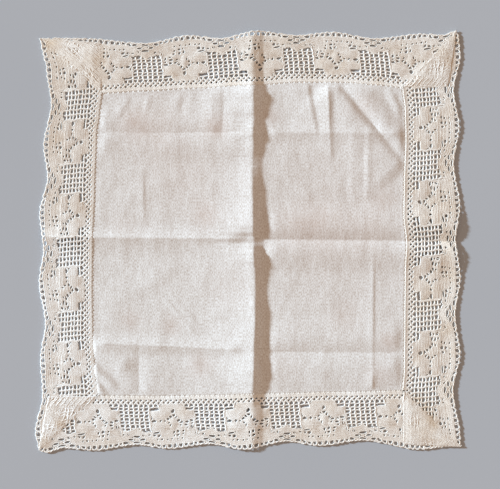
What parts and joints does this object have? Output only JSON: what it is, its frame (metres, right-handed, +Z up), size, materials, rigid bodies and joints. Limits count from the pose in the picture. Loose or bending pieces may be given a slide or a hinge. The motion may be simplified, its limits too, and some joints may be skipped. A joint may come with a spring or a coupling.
{
  "type": "square linen mat with a bobbin lace border",
  "caption": "Square linen table mat, lying flat with its fold creases, framed by a scalloped bobbin lace border with pleated corners.",
  "frame": {"origin": "centre of the mat's outline on the surface that it lies on", "axes": "+X to the right and +Y away from the user when the mat lies before them, +Z up out of the cloth"},
  "size_m": [0.4059, 0.4019, 0.0065],
  "materials": {
    "linen": "plain woven, washed, off-white, creased from folded storage",
    "cotton_lace": "plaited cotton thread, ecru, matt"
  },
  "bodies": {
    "root": {"linen_panel": "linen", "lace_edging": "cotton_lace"}
  },
  "joints": []
}
